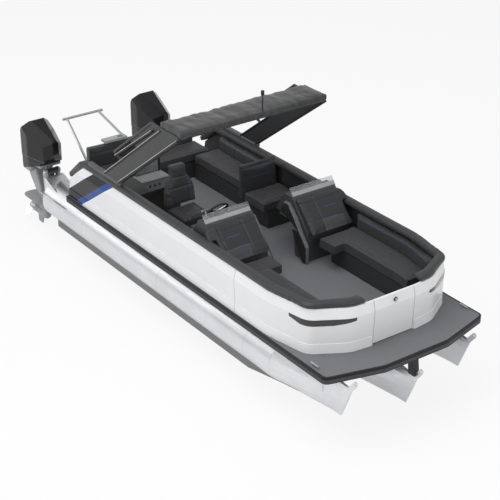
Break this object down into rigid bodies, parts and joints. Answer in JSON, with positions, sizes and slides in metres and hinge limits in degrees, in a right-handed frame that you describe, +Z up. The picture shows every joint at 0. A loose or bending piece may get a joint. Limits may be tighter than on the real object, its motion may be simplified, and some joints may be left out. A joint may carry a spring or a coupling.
{
  "type": "pontoon boat",
  "caption": "Pontoon boat with three tubes, a fenced deck with padded lounges, a helm, a raked arch with a stowed canopy, a bow gate and tilting, steered outboard engines.",
  "frame": {"origin": "amidships on the centreline, on the waterline", "axes": "+X to the bow, +Y to port, +Z up"},
  "size_m": [8.362, 2.59, 3.43],
  "materials": {
    "arch_paint": "satin powder coat",
    "bare_aluminium": "bright rolled sheet",
    "black_plastic": "soft grip",
    "bright_metal": "polished",
    "canvas": "woven",
    "console": "moulded",
    "counter_top": "moulded",
    "cowl_gloss": "gloss",
    "dark_trim": "satin",
    "dark_vinyl": "stitched vinyl",
    "engine_block": "cast",
    "engine_silver": "satin silver",
    "flooring": "woven vinyl",
    "lamp": "smoked lens",
    "panel": "gloss",
    "platform": "textured",
    "propeller_steel": "satin",
    "screen": "smoked",
    "seat_base": "moulded",
    "tinted_glass": "tinted"
  },
  "bodies": {
    "hull": {"aft_back": "dark_vinyl", "aft_seat": "dark_vinyl", "aft_tray": "platform", "arch": "arch_paint", "bolster_port": "dark_vinyl", "bolster_starboard": "dark_vinyl", "bow_back_port": "dark_vinyl", "bow_back_starboard": "dark_vinyl", "bow_lamps": "lamp", "bow_seat_port": "dark_vinyl", "bow_seat_starboard": "dark_vinyl", "bow_side_pads": "dark_vinyl", "canopy": "canvas", "chair_pedestal": "bright_metal", "clamp_bracket_port": "engine_silver", "clamp_bracket_starboard": "engine_silver", "cleats": "bright_metal", "companion_back": "dark_vinyl", "companion_seat": "dark_vinyl", "console_screens": "screen", "console_side_pads": "dark_vinyl", "counter": "counter_top", "counter_screen": "tinted_glass", "cross_channels": "bare_aluminium", "deck": "flooring", "edge_fascia": "dark_trim", "fence_port": "panel", "fence_starboard": "panel", "helm_console": "console", "light_pole": "bright_metal", "motor_pods": "bare_aluminium", "nose_bracket": "dark_trim", "pontoon_centre": "bare_aluminium", "pontoon_port": "bare_aluminium", "pontoon_starboard": "bare_aluminium", "port_console": "console", "seat_bases": "seat_base", "side_back": "dark_vinyl", "side_seat": "dark_vinyl", "swim_platform": "platform", "tow_bar": "bright_metal"},
    "gate": {"bow_gate": "panel"},
    "steering_wheel": {"steering_wheel": "black_plastic"},
    "chair": {"chair_back": "dark_vinyl", "chair_seat": "dark_vinyl"},
    "tilt_starboard": {"swivel_bracket_starboard": "engine_silver"},
    "motor_starboard": {"cowl_starboard": "cowl_gloss", "leg_starboard": "engine_silver", "powerhead_starboard": "engine_block"},
    "screw_starboard": {"propeller_starboard": "propeller_steel"},
    "tilt_port": {"swivel_bracket_port": "engine_silver"},
    "motor_port": {"cowl_port": "cowl_gloss", "leg_port": "engine_silver", "powerhead_port": "engine_block"},
    "screw_port": {"propeller_port": "propeller_steel"}
  },
  "joints": [
    {"name": "gate_hinge", "type": "hinge", "parent": "hull", "child": "gate", "pos_m": [3.467, 0.324, 0.5], "axis": [0, 0, -1], "range_deg": [0, 100]},
    {"name": "chair_swivel", "type": "hinge", "parent": "hull", "child": "chair", "pos_m": [-0.1, -0.62, 0.5], "axis": [0, 0, 1], "range_deg": [-180, 180]},
    {"name": "wheel_turn", "type": "hinge", "parent": "hull", "child": "steering_wheel", "pos_m": [0.7245, -0.66, 1.2195], "axis": [-0.8365, 0, 0.548], "range_deg": [-540, 540]},
    {"name": "tilt_starboard", "type": "hinge", "parent": "hull", "child": "tilt_starboard", "pos_m": [-3.44, -1.01, 0.48], "axis": [0, 1, 0], "range_deg": [-5, 65]},
    {"name": "steer_starboard", "type": "hinge", "parent": "tilt_starboard", "child": "motor_starboard", "pos_m": [-3.6, -1.01, 0.48], "axis": [0, 0, 1], "range_deg": [-30, 30]},
    {"name": "screw_starboard", "type": "hinge", "parent": "motor_starboard", "child": "screw_starboard", "pos_m": [-4.2, -1.01, -0.385], "axis": [1, 0, 0], "continuous": true},
    {"name": "tilt_port", "type": "hinge", "parent": "hull", "child": "tilt_port", "pos_m": [-3.44, 1.01, 0.48], "axis": [0, 1, 0], "range_deg": [-5, 65]},
    {"name": "steer_port", "type": "hinge", "parent": "tilt_port", "child": "motor_port", "pos_m": [-3.6, 1.01, 0.48], "axis": [0, 0, 1], "range_deg": [-30, 30]},
    {"name": "screw_port", "type": "hinge", "parent": "motor_port", "child": "screw_port", "pos_m": [-4.2, 1.01, -0.385], "axis": [1, 0, 0], "continuous": true}
  ],
  "couplings": [
    {"joint": "steer_port", "follows": "steer_starboard", "ratio": 1},
    {"joint": "wheel_turn", "follows": "steer_starboard", "ratio": -18}
  ]
}
